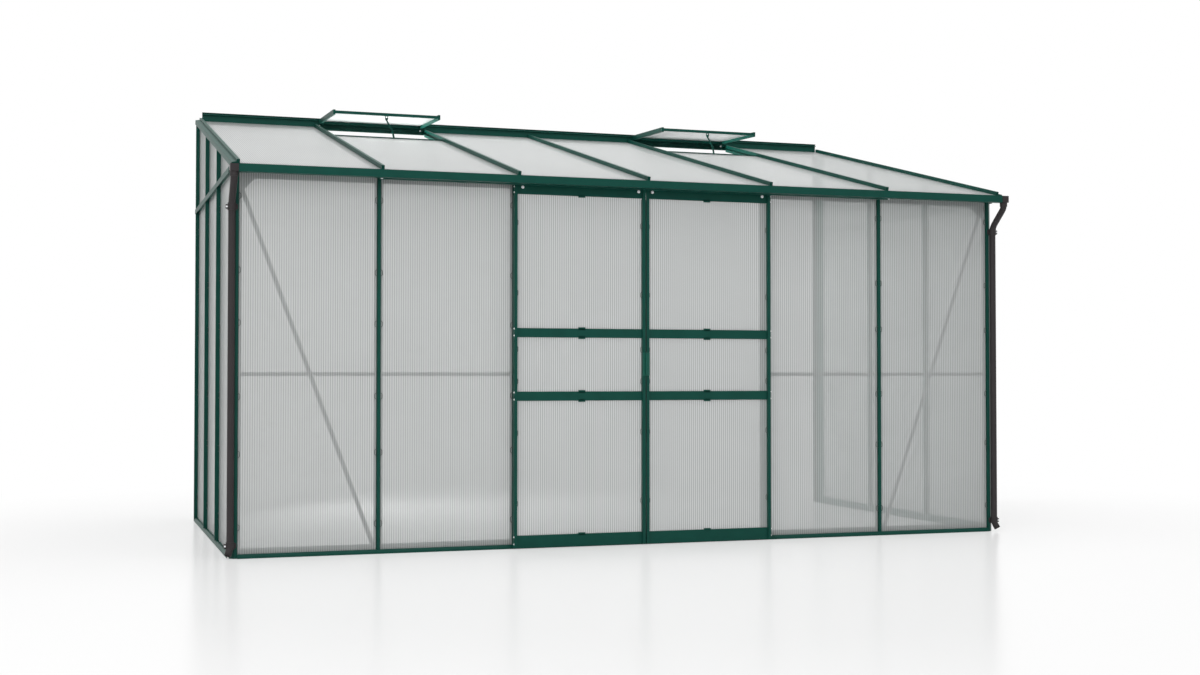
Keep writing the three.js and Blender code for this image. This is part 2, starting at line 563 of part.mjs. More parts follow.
// Sliding doors, drawn from the middle of the doorway outwards
function doorLeaf([side, s]) {
  const leaf = new THREE.Group();
  house.add(leaf);
  const front = -door.front;
  const back = front + door.depth;
  const railFront = front + door.recess;
  const railBack = railFront + door.railDepth;
  const plateBack = railFront + door.topPlate;
  const sheetBack = front + door.sheetBack;
  const sheetFront = sheetBack - sheet.thickness;

  const topZ = rollerZ + axle.collar + door.topCover;
  const stileOutline = [[front, door.bottomZ], [front, topZ], [front + door.topDepth, topZ],
    [front + door.topDepth, door.notchZ], [back, door.notchZ], [back, door.bottomZ]];
  const stile = (from) => along('x', stileOutline, s * from, s * (from + door.stile));
  const innerMiddle = s * (door.halfGap + door.stile / 2);
  const outerMiddle = s * (door.edge - door.stile / 2);
  const crossRail = (low, high, to) => block([innerMiddle, railFront, low], [outerMiddle, to, high]);
  const rails = [
    crossRail(door.bottomZ, doorRail.bottomTopZ, railBack),
    crossRail(doorRail.lowZ, doorRail.lowZ + doorRail.low, sheetFront - fit),
    crossRail(doorRail.highZ, doorRail.highZ + doorRail.high, sheetFront - fit),
    crossRail(doorRail.topZ, topZ, plateBack)];

  const plateFront = front - handle.plate;
  const gripIn = s * door.halfGap;
  const gripOut = s * (door.halfGap + handle.grip);
  const plateEdge = s * (door.halfGap + door.stile);
  const pull = along('z', [
    [gripIn, front + handle.plate], [plateEdge, front + handle.plate], [plateEdge, plateFront],
    [gripOut, plateFront], [gripOut, plateFront - handle.reach], [gripIn, plateFront - handle.reach],
  ], handle.bottomZ, handle.bottomZ + handle.height);

  const skids = [door.halfGap + skid.inset, door.edge - skid.inset - skid.length].map((from) => block(
    [s * from, railBack - sill.wall, skid.bottomZ],
    [s * (from + skid.length), -sill.nose - skid.gap, skid.bottomZ + skid.height]));

  // Each roller turns on an axle that stands out in front of the top plate, between a collar and a nut
  const wheels = [door.halfGap + roller.innerInset, door.edge - roller.outerInset];
  const wheelFront = rollerY - roller.width / 2;
  const wheelBack = rollerY + roller.width / 2;
  const axles = wheels.map((x) => turned([
    [0, wheelFront - fit - axle.nut], [axle.collar, wheelFront - fit - axle.nut],
    [axle.collar, wheelFront - fit], [axle.radius, wheelFront - fit], [axle.radius, wheelBack + fit],
    [axle.collar, wheelBack + fit], [axle.collar, railFront + screw.sink], [0, railFront + screw.sink],
  ], facets.axle).translate(s * x, 0, rollerZ));
  const heads = wheels.map((x) => turned([
    [0, railFront - hanger.headHeight], [hanger.crown, railFront - hanger.headHeight],
    [hanger.head, railFront - hanger.headHeight / 2], [hanger.head, railFront + screw.sink],
    [0, railFront + screw.sink],
  ], facets.axle).translate(s * x, 0, hanger.z));
  add(leaf, `door_${side}_frame`, 'frame', join(stile(door.halfGap), stile(door.edge - door.stile),
    ...rails, pull, ...skids, ...axles, ...heads));

  add(leaf, `door_${side}_pane`, 'sheet', block(
    [s * (door.halfGap + door.stile + fit), sheetFront, doorRail.bottomTopZ + fit],
    [s * (door.edge - door.stile - fit), sheetBack, doorRail.topZ - fit]));

  wheels.forEach((x, i) => {
    const { width, slot } = roller;
    const bore = axle.radius + fit;
    add(leaf, `door_${side}_roller_${i + 1}`, 'nylon', turned([
      [bore, -width / 2], [rollerRadius, -width / 2], [rollerRadius, -slot / 2 - roller.slope],
      [grooveRadius, -slot / 2], [grooveRadius, slot / 2], [rollerRadius, slot / 2 + roller.slope],
      [rollerRadius, width / 2], [bore, width / 2], [bore, -width / 2],
    ], facets.wheel), [s * x, rollerY, rollerZ]);
  });
}
sides.forEach(doorLeaf);

/** A bent pipe along a curve through the points. */
function bentPipe(points, steps) {
  const vectors = (list) => list.map(([a, b]) => new THREE.Vector2(a, b));
  const ring = new THREE.Shape(vectors(circle(pipe.radius, facets.bend)));
  ring.holes.push(new THREE.Path(vectors(circle(pipe.bore, facets.bend))));
  const path = new THREE.CatmullRomCurve3(points.map((p) => new THREE.Vector3(...p)), false, 'centripetal');
  return new THREE.ExtrudeGeometry(ring, { steps, bevelEnabled: false, extrudePath: path });
}

/** An upright tube whose wall runs between two radii. */
function tube(inner, outer, low, high, centre) {
  return along('z', circle(outer, facets.pipe, centre), low, high, [circle(inner, facets.pipe, centre)]);
}

function rainwaterPipe([side, s]) {
  const axis = [s * (halfWidth + pipe.out), -pipe.forward];
  const topAxis = [s * (halfWidth + pipe.topOut), -pipe.topForward];
  const weld = pipe.bore + (pipe.radius - pipe.bore) * weldShare;
  const front = -gutter.front;

  // Outlet: an open box past the end of the gutter, over a stub
  const { wall, stub, stubZ } = outlet;
  const inner = s * (beamEnd + fit);
  const outer = s * (halfWidth + outlet.end);
  const box = block([inner, front, gutter.floorZ], [outer, gutterBack, gutter.lipZ]);
  const trough = block([inner - s * overrun, front + wall, gutter.floorZ + wall],
    [outer - s * wall, gutterBack - wall, gutter.lipZ + overrun]);
  const drain = along('z', circle(weld, facets.pipe, topAxis), stubZ - overrun, gutter.lipZ);
  const stubTube = along('z', circle(stub, facets.pipe, topAxis), stubZ, gutter.floorZ + wall / 2);
  const outletSolid = cut(join(box, stubTube), trough, drain);

  // Swan neck back to the post, the straight pipe and the shoe that turns out at its foot
  const between = (share, z) => [
    topAxis[0] + (axis[0] - topAxis[0]) * share, topAxis[1] + (axis[1] - topAxis[1]) * share, z];
  const slant = (share) => pipeZ.bend + (pipeZ.elbow - pipeZ.bend) * share;
  const neck = bentPipe([between(0, pipeZ.neckTop), between(0, (pipeZ.neckTop + pipeZ.bend) / 2),
    between(cornerShare, slant(0)), between(1 / 2, slant(1 / 2)), between(1 - cornerShare, slant(1)),
    between(1, (pipeZ.elbow + pipeZ.joint) / 2), between(1, pipeZ.joint + fit)], facets.bendSteps);
  const straight = tube(pipe.bore, pipe.radius, pipeZ.shoeTop + fit, pipeZ.joint - fit, axis);
  const shoe = bentPipe([[...axis, pipeZ.shoeTop - fit], [...axis, pipeZ.kick],
    [axis[0] + s * pipe.kickOut, axis[1], pipeZ.mouth]], facets.shoeSteps);

  // Collars over the joints, each with a strap to the post and a lug with a screw
  const collars = [pipeZ.joint, pipeZ.shoeTop].flatMap((middle) => {
    const low = middle - collar.height / 2;
    const high = middle + collar.height / 2;
    const strapBack = frontFace - fit;
    const strap = cut(block([s * (halfWidth - collar.strap), strapBack - collar.strapThickness, low],
      [axis[0], strapBack, high]), along('z', circle(weld, facets.pipe, axis), low - overrun, high + overrun));
    const lugIn = axis[0] + s * (collar.radius - outlet.wall);
    const lugOut = lugIn + s * (collar.lug + outlet.wall);
    const lugFront = axis[1] - collar.lugThickness / 2;
    const ear = block([lugIn, lugFront, low], [lugOut, lugFront + collar.lugThickness, high]);
    const head = turned([
      [0, lugFront - screw.smallHeight], [screw.small, lugFront - screw.smallHeight],
      [screw.small, lugFront + screw.sink], [0, lugFront + screw.sink],
    ], facets.screw).translate(lugOut - (s * collar.lug) / 2, 0, middle);
    return [tube(weld, collar.radius, low, high, axis), strap, ear, head];
  });
  add(house, `rainwater_pipe_${side}`, 'pipe', join(outletSolid, neck, straight, shoe, ...collars));
}
sides.forEach(rainwaterPipe);

export default house;
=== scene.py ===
# Dresses the lean-to greenhouse: twin-wall sheets, powder coat, braces, clips, bolts and rainwater pipes.
# Metres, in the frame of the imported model. X runs along the front, Y towards the house wall, Z up.
import json
import math

import bmesh
import bpy
from mathutils import Matrix, Vector


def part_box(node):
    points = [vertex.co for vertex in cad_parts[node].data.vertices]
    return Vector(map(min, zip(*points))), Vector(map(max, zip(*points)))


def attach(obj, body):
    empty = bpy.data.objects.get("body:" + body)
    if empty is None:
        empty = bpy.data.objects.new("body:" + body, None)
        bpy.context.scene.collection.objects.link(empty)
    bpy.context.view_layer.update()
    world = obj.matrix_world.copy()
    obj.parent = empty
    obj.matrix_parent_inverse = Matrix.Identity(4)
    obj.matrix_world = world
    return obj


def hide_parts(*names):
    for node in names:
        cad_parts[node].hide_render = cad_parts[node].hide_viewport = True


bl_info = {
    "name": "Lean-to greenhouse",
    "version": (1, 0, 0),
    "blender": (4, 5, 0),
    "location": "View3D > Sidebar > Greenhouse",
    "description": "Builds the sheets, fittings and finishes of a lean-to greenhouse on its packed frame",
    "category": "Object",
}

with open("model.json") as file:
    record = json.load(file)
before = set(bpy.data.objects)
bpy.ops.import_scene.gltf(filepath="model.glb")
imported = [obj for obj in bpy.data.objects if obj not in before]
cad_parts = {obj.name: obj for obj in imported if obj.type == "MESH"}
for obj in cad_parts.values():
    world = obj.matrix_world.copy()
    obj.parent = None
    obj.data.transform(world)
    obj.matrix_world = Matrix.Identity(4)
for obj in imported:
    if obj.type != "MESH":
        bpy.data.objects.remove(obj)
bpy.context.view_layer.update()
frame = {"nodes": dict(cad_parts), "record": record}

# The house: six bays along the front, the roof's line over the front panes, and the vents' hinge line
BAY = 0.622
HALF_WIDTH = 3 * BAY
EAVES_Z = 1.7092
ROOF_ANGLE = math.radians(13.66)
VENT_TILT = math.radians(2.66)
HINGE_Y = 1.905
HINGE_Z = 2.2133
VENT_SILL_Y = 1.433
RIDGE_FACE_Y = 1.9136
ROOF = Matrix.Translation((0, 0, EAVES_Z)) @ Matrix.Rotation(ROOF_ANGLE, 4, "X")
SIDES = (("left", -1), ("right", 1))
VENTS = (("left", -1.5 * BAY, "roof_pane_2"), ("right", 1.5 * BAY, "roof_pane_5"))

# Bars and sheets, measured from the middle of the sheets, and how far the end walls' sheets lie outboard
SHEET_HALF = 0.003
RIB_HALF = 0.007
BAR_BACK = 0.0223
SIDE_INSET = 0.007
SIDE_BARS = (0.6065, 1.2285)
ROLLERS_X = (0.034, 0.595)

# Rainwater pipe: the axis beside the corner post, the outlet on the gutter and the middles of the collars
PIPE_X = 1.8845
PIPE_Y = -0.021
PIPE_RADIUS = 0.0152
PIPE_SIDES = 32
OUTLET_X = 1.8855
OUTLET_Y = -0.121
COLLARS_Z = (1.511, 0.057)

# Screw heads, as radius and height
HANGER_SCREW = (0.0062, 0.0030)
RAIL_SCREW = (0.0038, 0.0034)
STOP_SCREW = (0.0058, 0.0030)
VENT_SCREW = (0.0042, 0.0030)
COLLAR_SCREW = (0.0036, 0.0020)

# Axes of a box's corners, directions, and the distance within which points are one
X, Y, Z = range(3)
UP = Vector((0, 0, 1))
FRONT = Vector((0, -1, 0))
BACK = Vector((0, 1, 0))
MERGE = 0.00001


class GlazingSettings(bpy.types.PropertyGroup):
    pitch: bpy.props.FloatProperty(
        name="Flute pitch", description="Distance between the webs of a twin-wall sheet", default=0.0102,
        min=0.004, subtype="DISTANCE", unit="LENGTH")
    skin: bpy.props.FloatProperty(
        name="Skin", description="Thickness of each of the sheet's two skins", default=0.0005,
        min=0.0002, subtype="DISTANCE", unit="LENGTH")
    web: bpy.props.FloatProperty(
        name="Web", description="Thickness of the webs between the skins", default=0.0005,
        min=0.0002, subtype="DISTANCE", unit="LENGTH")
    tint: bpy.props.FloatVectorProperty(
        name="Tint", description="Colour of the sheet's plastic", default=(0.58, 0.60, 0.595),
        size=3, min=0, max=1, subtype="COLOR")
    cover: bpy.props.FloatProperty(
        name="Cover", description="Share of the light that a sheet's outer face holds back", default=0.56,
        min=0, max=1, subtype="FACTOR")
    cell_cover: bpy.props.FloatProperty(
        name="Cell cover", description="Share of the light that a sheet's webs and inner faces hold back",
        default=0.08, min=0, max=1, subtype="FACTOR")
    # Painted shade: how much the sheet's colour is darkened along its webs
    lines: bpy.props.FloatProperty(
        name="Lines", description="How much darker the sheet looks along its webs", default=0.42,
        min=0, max=1, subtype="FACTOR")


class FinishSettings(bpy.types.PropertyGroup):
    coat: bpy.props.FloatVectorProperty(
        name="Powder coat", description="Green of the coated aluminium", default=(0.004, 0.058, 0.043),
        size=3, min=0, max=1, subtype="COLOR")
    handle: bpy.props.FloatVectorProperty(
        name="Handle", description="Lighter green of the door handles", default=(0.010, 0.100, 0.072),
        size=3, min=0, max=1, subtype="COLOR")
    plastic: bpy.props.FloatVectorProperty(
        name="Pipe plastic", description="Dark grey of the rainwater pipes", default=(0.036, 0.032, 0.033),
        size=3, min=0, max=1, subtype="COLOR")
    edge: bpy.props.FloatProperty(
        name="Edge radius", description="Rounding along the edges of the extrusions", default=0.0005,
        min=0, subtype="DISTANCE", unit="LENGTH")


class FittingSettings(bpy.types.PropertyGroup):
    clip_height: bpy.props.FloatProperty(
        name="Clip height", description="Height of a wire glazing clip", default=0.027,
        min=0.01, subtype="DISTANCE", unit="LENGTH")
    clip_reach: bpy.props.FloatProperty(
        name="Clip reach", description="How far a clip reaches over its sheet", default=0.0095,
        min=0.003, subtype="DISTANCE", unit="LENGTH")
    clip_wire: bpy.props.FloatProperty(
        name="Clip wire", description="Radius of the clip's wire", default=0.0013,
        min=0.0003, subtype="DISTANCE", unit="LENGTH")
    brace_width: bpy.props.FloatProperty(
        name="Brace width", description="Width of the diagonal brace strips", default=0.019,
        min=0.008, subtype="DISTANCE", unit="LENGTH")


class StageSettings(bpy.types.PropertyGroup):
    overhead: bpy.props.FloatProperty(
        name="Overhead lamp", description="Power of the soft lamp above the roof", default=145,
        min=0, subtype="POWER", unit="POWER")
    front: bpy.props.FloatProperty(
        name="Front lamp", description="Power of the soft lamp on the doors' side", default=215,
        min=0, subtype="POWER", unit="POWER")
    back: bpy.props.FloatProperty(
        name="Back lamp", description="Power of the soft lamp that shines in from the wall's side",
        default=130, min=0, subtype="POWER", unit="POWER")
    fill: bpy.props.FloatProperty(
        name="Fill", description="Strength of the even light all round", default=0.62, min=0)
    floor: bpy.props.FloatVectorProperty(
        name="Floor", description="Colour of the floor under the house", default=(0.95, 0.95, 0.95),
        size=3, min=0, max=1, subtype="COLOR")


def link(owner, source, target):
    """Joins two sockets in the node tree of a material or a world."""
    owner.node_tree.links.new(source, target)


def facing(place, look):
    """Stands a camera or a lamp at a place, so that it looks along a direction."""
    turn = Vector(look).to_track_quat("-Z", "Y")
    return Matrix.Translation(place) @ turn.to_matrix().to_4x4()


def finish(name, colour, roughness, metallic=0.0, specular=0.5, mottle=14.0, depth=0.05, grain=900.0,
           bump=0.0002, stretch=(1, 1, 1), alpha=1.0):
    """A material whose colour drifts a little over the surface, with a fine grain in its relief."""
    if name in bpy.data.materials:
        return bpy.data.materials[name]
    material = bpy.data.materials.new(name)
    material.use_nodes = True
    nodes = material.node_tree.nodes
    shader = nodes["Principled BSDF"]
    shader.inputs["Roughness"].default_value = roughness
    shader.inputs["Metallic"].default_value = metallic
    shader.inputs["Specular IOR Level"].default_value = specular
    shader.inputs["Alpha"].default_value = alpha
    place = nodes.new("ShaderNodeTexCoord")
    drift = nodes.new("ShaderNodeTexNoise")
    drift.inputs["Scale"].default_value = mottle
    drift.inputs["Detail"].default_value = 4.0
    ramp = nodes.new("ShaderNodeValToRGB")
    ramp.color_ramp.elements[0].position = 0.3
    ramp.color_ramp.elements[1].position = 0.7
    ramp.color_ramp.elements[0].color = (*(c * (1 - depth) for c in colour), 1)
    ramp.color_ramp.elements[1].color = (*(min(c * (1 + depth), 1) for c in colour), 1)
    turn = nodes.new("ShaderNodeMapping")
    turn.inputs["Scale"].default_value = stretch
    fine = nodes.new("ShaderNodeTexNoise")
    fine.inputs["Scale"].default_value = grain
    fine.inputs["Detail"].default_value = 2.0
    relief = nodes.new("ShaderNodeBump")
    relief.inputs["Strength"].default_value = 0.35
    relief.inputs["Distance"].default_value = bump
    link(material, place.outputs["Object"], drift.inputs["Vector"])
    link(material, drift.outputs["Fac"], ramp.inputs["Fac"])
    link(material, ramp.outputs["Color"], shader.inputs["Base Color"])
    link(material, place.outputs["Object"], turn.inputs["Vector"])
    link(material, turn.outputs["Vector"], fine.inputs["Vector"])
    link(material, fine.outputs["Fac"], relief.inputs["Height"])
    link(material, relief.outputs["Normal"], shader.inputs["Normal"])
    return material


def powder_coat():
    return finish("green_powder_coat", bpy.context.scene.greenhouse_finish.coat, 0.42, specular=0.12,
                  depth=0.07, grain=650.0, bump=0.0003)


def handle_coat():
    return finish("handle_green", bpy.context.scene.greenhouse_finish.handle, 0.4, specular=0.18,
                  grain=650.0)


def pipe_plastic():
    return finish("anthracite_plastic", bpy.context.scene.greenhouse_finish.plastic, 0.5, specular=0.15,
                  mottle=9.0, depth=0.06, grain=1500.0, bump=0.00015)


def bright_zinc():
    return finish("bright_zinc", (0.90, 0.91, 0.92), 0.35, metallic=0.25, mottle=400.0, depth=0.04)


def mill_aluminium():
    return finish("mill_aluminium", (0.17, 0.175, 0.18), 0.42, metallic=0.35, mottle=30.0, depth=0.08,
                  stretch=(0.08, 1, 1), bump=0.0001)


def spring_wire():
    return finish("spring_wire", (0.055, 0.07, 0.065), 0.35, metallic=0.3, mottle=200.0, depth=0.1)


def white_nylon():
    return finish("white_nylon", (0.80, 0.80, 0.76), 0.45, mottle=60.0, depth=0.03, grain=2000.0,
                  bump=0.0001)


def sheet_cell():
    """The webs, edges and inner faces of a sheet, which show only faintly through its skins."""
    settings = bpy.context.scene.greenhouse_glazing
    return finish("twin_wall_cell", settings.tint, 0.4, specular=0.1, mottle=2.2, depth=0.02,
                  alpha=settings.cell_cover)


def twin_wall(flutes):
    """Sheet plastic, drawn out along its flutes, with painted shade: its colour is darker where a web
    stands behind the skin.
    """
    settings = bpy.context.scene.greenhouse_glazing
    name = f"twin_wall_{flutes}"
    if name in bpy.data.materials:
        return bpy.data.materials[name]
    stretch = (1, 1, 0.02) if flutes == "upright" else (1, 0.02, 1)
    material = finish(name, settings.tint, 0.3, specular=0.25, mottle=2.2, depth=0.02,
                      grain=260.0, bump=0.00005, stretch=stretch, alpha=settings.cover)
    nodes = material.node_tree.nodes
    shader = nodes["Principled BSDF"]
    ramp = shader.inputs["Base Color"].links[0].from_socket
    # Painted shade: the colour darkens along each web, standing in for the shade that the webs throw
    # through the skin
    flute = nodes.new("ShaderNodeAttribute")
    flute.attribute_name = "flute"
    turns = nodes.new("ShaderNodeMath")
    turns.operation = "MULTIPLY"
    turns.inputs[1].default_value = 2 * math.pi
    wave = nodes.new("ShaderNodeMath")
    wave.operation = "COSINE"
    shade = nodes.new("ShaderNodeMapRange")
    shade.inputs["From Min"].default_value = -0.6
    shade.inputs["From Max"].default_value = 1.0
    shade.inputs["To Min"].default_value = 1.0
    shade.inputs["To Max"].default_value = 1.0 - settings.lines
    darken = nodes.new("ShaderNodeVectorMath")
    darken.operation = "SCALE"
    link(material, flute.outputs["Fac"], turns.inputs[0])
    link(material, turns.outputs["Value"], wave.inputs[0])
    link(material, wave.outputs["Value"], shade.inputs["Value"])
    link(material, ramp, darken.inputs[0])
    link(material, shade.outputs["Result"], darken.inputs["Scale"])
    link(material, darken.outputs["Vector"], shader.inputs["Base Color"])
    return material


def add_box(bm, low, high):
    """A box between two corners, given in any order."""
    low, high = Vector(low), Vector(high)
    size = [abs(a - b) for a, b in zip(low, high)]
    place = Matrix.Translation((low + high) / 2) @ Matrix.Diagonal((*size, 1))
    return bmesh.ops.create_cube(bm, size=1, matrix=place)["verts"]


def add_rod(bm, start, end, radius, sides=16, end_radius=None):
    """A round or hexagonal bar between two points, or a taper."""
    start, end = Vector(start), Vector(end)
    run = end - start
    place = Matrix.Translation((start + end) / 2) @ run.to_track_quat("Z", "Y").to_matrix().to_4x4()
    bmesh.ops.create_cone(
        bm, cap_ends=True, segments=sides, radius1=radius, radius2=end_radius or radius, depth=run.length,
        matrix=place)


def soften(bm, verts, width, segments):
    """Rounds every edge among the vertices."""
    chosen = set(verts)
    edges = [e for e in bm.edges if e.verts[0] in chosen and e.verts[1] in chosen]
    bmesh.ops.bevel(bm, geom=edges, offset=width, offset_type="OFFSET", segments=segments, profile=0.5,
                    affect="EDGES", clamp_overlap=True, material=-1)


def add_soft_box(bm, low, high, width, segments=1):
    """A box between two corners, with its edges rounded."""
    soften(bm, add_box(bm, low, high), width, segments)


def slice_off(bm, point, normal):
    """Cuts a mesh along a plane, takes off what lies past it and closes the cut."""
    bmesh.ops.bisect_plane(bm, geom=bm.verts[:] + bm.edges[:] + bm.faces[:], dist=MERGE, plane_co=point,
                           plane_no=normal, clear_outer=True)
    bmesh.ops.edgeloop_fill(bm, edges=[e for e in bm.edges if e.is_boundary])


def add_screw(bm, at, out, radius, height):
    """A pan-head screw with a washer under it, standing out of a face."""
    at, out = Vector(at), Vector(out).normalized()
    seat, washer, rim = (height * share for share in (-0.2, 0.3, 0.75))
    washer_radius, head, shoulder, crown = (radius * share for share in (1.15, 0.9, 0.82, 0.5))
    add_rod(bm, at + out * seat, at + out * washer, washer_radius)
    add_rod(bm, at + out * washer, at + out * rim, head, end_radius=shoulder)
    add_rod(bm, at + out * rim, at + out * height, shoulder, end_radius=crown)


def add_nut(bm, at, out):
    """A hexagon nut on a washer, with the bolt's end standing through it."""
    at, out = Vector(at), Vector(out).normalized()
    washer, nut, bolt_end = 0.001, 0.005, 0.003
    washer_radius, nut_radius, bolt_radius = 0.00589, 0.00475, 0.002565
    add_rod(bm, at, at + out * washer, washer_radius, 18)
    add_rod(bm, at + out * washer, at + out * (washer + nut), nut_radius, 6)
    add_rod(bm, at + out * nut, at + out * (nut + bolt_end), bolt_radius, 10)


def add_tube(bm, points, radius, sides, caps=True):
    """Draws a ring along a path, turning it to each corner's middle direction."""
    runs = [(b - a).normalized() for a, b in zip(points, points[1:])]
    aims = [runs[0]] + [(a + b).normalized() for a, b in zip(runs, runs[1:])] + [runs[-1]]
    turn = aims[0].to_track_quat("Z", "Y")
    ring = bmesh.ops.create_circle(
        bm, cap_ends=False, segments=sides, radius=radius,
        matrix=Matrix.Translation(points[0]) @ turn.to_matrix().to_4x4())["verts"]
    edges = [e for e in bm.edges if e.verts[0] in ring and e.verts[1] in ring]
    if caps:
        bmesh.ops.edgeloop_fill(bm, edges=edges)
    for i, (before, point) in enumerate(zip(points, points[1:])):
        made = bmesh.ops.extrude_edge_only(bm, edges=edges)["geom"]
        verts = [g for g in made if isinstance(g, bmesh.types.BMVert)]
        edges = [e for e in made if isinstance(e, bmesh.types.BMEdge)]
        edges = [e for e in edges if e.verts[0] in verts and e.verts[1] in verts]
        bend = aims[i].rotation_difference(aims[i + 1]).to_matrix()
        bmesh.ops.rotate(bm, cent=before, matrix=bend, verts=verts)
        bmesh.ops.translate(bm, vec=point - before, verts=verts)
    if caps:
        bmesh.ops.edgeloop_fill(bm, edges=edges)


def rounded(points, radius, steps):
    """A path with each inner corner eased into a curve, over less than half of the runs beside it."""
    run_share = 0.48
    path = [points[0]]
    for before, corner, after in zip(points, points[1:], points[2:]):
        ease = min(radius, (corner - before).length * run_share, (after - corner).length * run_share)
        start = corner + (before - corner).normalized() * ease
        end = corner + (after - corner).normalized() * ease
        for i in range(steps + 1):
            t = i / steps
            path.append(start * (1 - t) ** 2 + corner * 2 * t * (1 - t) + end * t ** 2)
    return path + [points[-1]]


def new_piece(name, bm, material, body, replaces=(), smooth=None):
    """Makes a finished mesh of a bmesh, lets it ride on a body and hides the nodes that it stands for."""
    if not bm.faces:
        raise RuntimeError(f"{name} has no faces")
    bmesh.ops.recalc_face_normals(bm, faces=bm.faces[:])
    mesh = bpy.data.meshes.new(name)
    bm.to_mesh(mesh)
    bm.free()
    if smooth is not None:
        mesh.shade_smooth()
        mesh.set_sharp_from_angle(angle=math.radians(smooth))
    mesh.materials.append(material)
    piece = bpy.data.objects.new(name, mesh)
    bpy.context.scene.collection.objects.link(piece)
    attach(piece, body)
    if replaces:
        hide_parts(*replaces)
    return piece


def fluted_sheet(name, low, high, across, out, flutes, body, replaces=(), place=None, trim=None):
    """Twin-wall sheet between two corners: two skins, and webs between them at the flute pitch.

    The webs follow each other along one axis, and the skins lie apart along another.
    """
    settings = bpy.context.scene.greenhouse_glazing
    low, high = Vector(low), Vector(high)
    bm = bmesh.new()
    for near, far in ((low[out], low[out] + settings.skin), (high[out] - settings.skin, high[out])):
        a, b = low.copy(), high.copy()
        a[out], b[out] = near, far
        add_box(bm, a, b)
    clear = 0.00005
    count = max(1, round((high[across] - low[across]) / settings.pitch))
    step = (high[across] - low[across] - settings.web) / count
    for i in range(count + 1):
        a, b = low.copy(), high.copy()
        a[across] = low[across] + i * step
        b[across] = a[across] + settings.web
        a[out] += settings.skin + clear
        b[out] -= settings.skin + clear
        add_box(bm, a, b)
    if trim:
        slice_off(bm, *trim)
    flute = bm.verts.layers.float.new("flute")
    for vert in bm.verts:
        vert[flute] = (vert.co[across] - low[across] - settings.web / 2) / step
    for face in bm.faces:
        # Only the two outsides of the sheet get the covering material
        height = face.calc_center_median()[out]
        outer = min(height - low[out], high[out] - height) < settings.skin / 4
        face.material_index = 0 if outer else 1
    if place:
        bmesh.ops.transform(bm, matrix=place, verts=bm.verts)
    piece = new_piece(name, bm, twin_wall(flutes), body, replaces)
    piece.data.materials.append(sheet_cell())
    return piece


class GREENHOUSE_OT_camera(bpy.types.Operator):
    """Stand the camera where it looks up a little at the doors from the left"""
    bl_idname = "greenhouse.camera"
    bl_label = "Camera"

    def execute(self, context):
        lens = bpy.data.cameras.new("house_view")
        lens.lens = 47.09
        lens.sensor_width = 36
        lens.clip_end = 200
        stand = (-2.5513, -6.8973, 0.7858)
        look = (0.3216, 0.9465, 0.0241)
        camera = bpy.data.objects.new("house_view", lens)
        camera.matrix_world = facing(stand, look)
        context.scene.collection.objects.link(camera)
        context.scene.camera = camera
        return {"FINISHED"}


class GREENHOUSE_OT_coat(bpy.types.Operator):
    """Powder coat the extrusions of the frame, doors, vents and stays, and ease their edges"""
    bl_idname = "greenhouse.coat"
    bl_label = "Powder coat"

    def execute(self, context):
        slots = {p["node"]: p["material_slot"] for p in frame["record"]["subparts"]}
        for name, node in frame["nodes"].items():
            if slots[name] != "green_frame":
                continue
            node.data.materials.clear()
            node.data.materials.append(powder_coat())
            weld = node.modifiers.new("weld", "WELD")
            weld.merge_threshold = MERGE
            bevel = node.modifiers.new("edge", "BEVEL")
            bevel.width = context.scene.greenhouse_finish.edge
            bevel.segments = 1
            bevel.limit_method = "ANGLE"
            bevel.angle_limit = math.radians(50)
            bevel.harden_normals = False
        return {"FINISHED"}


class GREENHOUSE_OT_wall_sheets(bpy.types.Operator):
    """Glaze the front and the two ends with upright twin-wall sheets"""
    bl_idname = "greenhouse.wall_sheets"
    bl_label = "Wall sheets"

    def execute(self, context):
        for i in range(1, 5):
            node = f"front_pane_{i}"
            low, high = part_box(node)
            fluted_sheet(f"front_sheet_{i}", low, high, X, Y, "upright", "frame", (node,))
        roof_normal = ROOF.to_3x3() @ UP
        for side, _ in SIDES:
            for i in range(1, 4):
                node = f"{side}_pane_{i}"
                low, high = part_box(node)
                peak = Vector((0, high.y, high.z))
                fluted_sheet(f"{side}_sheet_{i}", low, high, Y, X, "upright", "frame", (node,),
                             trim=(peak, roof_normal))
        return {"FINISHED"}


def vent_sill_mesh(middle, foot):
    """Upstand on a short sheet's top edge, a drip over the sheet, and a catch for the stay's foot."""
    reach = BAY / 2 - 0.0073
    wall, drip, upstand = 0.0024, 0.010, 0.008
    clear, ease, catch_ease = 0.0001, 0.0004, 0.0003
    stay_offset, stay_half, stay_gap, catch_length = 0.041, 0.005, 0.0005, 0.012
    bm = bmesh.new()
    add_soft_box(bm, (middle - reach, foot, -SHEET_HALF), (middle + reach, foot + wall, upstand), ease)
    add_soft_box(bm, (middle - reach, foot - drip, SHEET_HALF + clear),
                 (middle + reach, foot + clear, SHEET_HALF + wall), ease)
    catch = middle + stay_offset + stay_half + stay_gap
    add_soft_box(bm, (catch, foot + wall / 2, -SHEET_HALF),
                 (catch + wall, foot + wall / 2 + catch_length, upstand), catch_ease)
    bmesh.ops.transform(bm, matrix=ROOF, verts=bm.verts)
    return bm


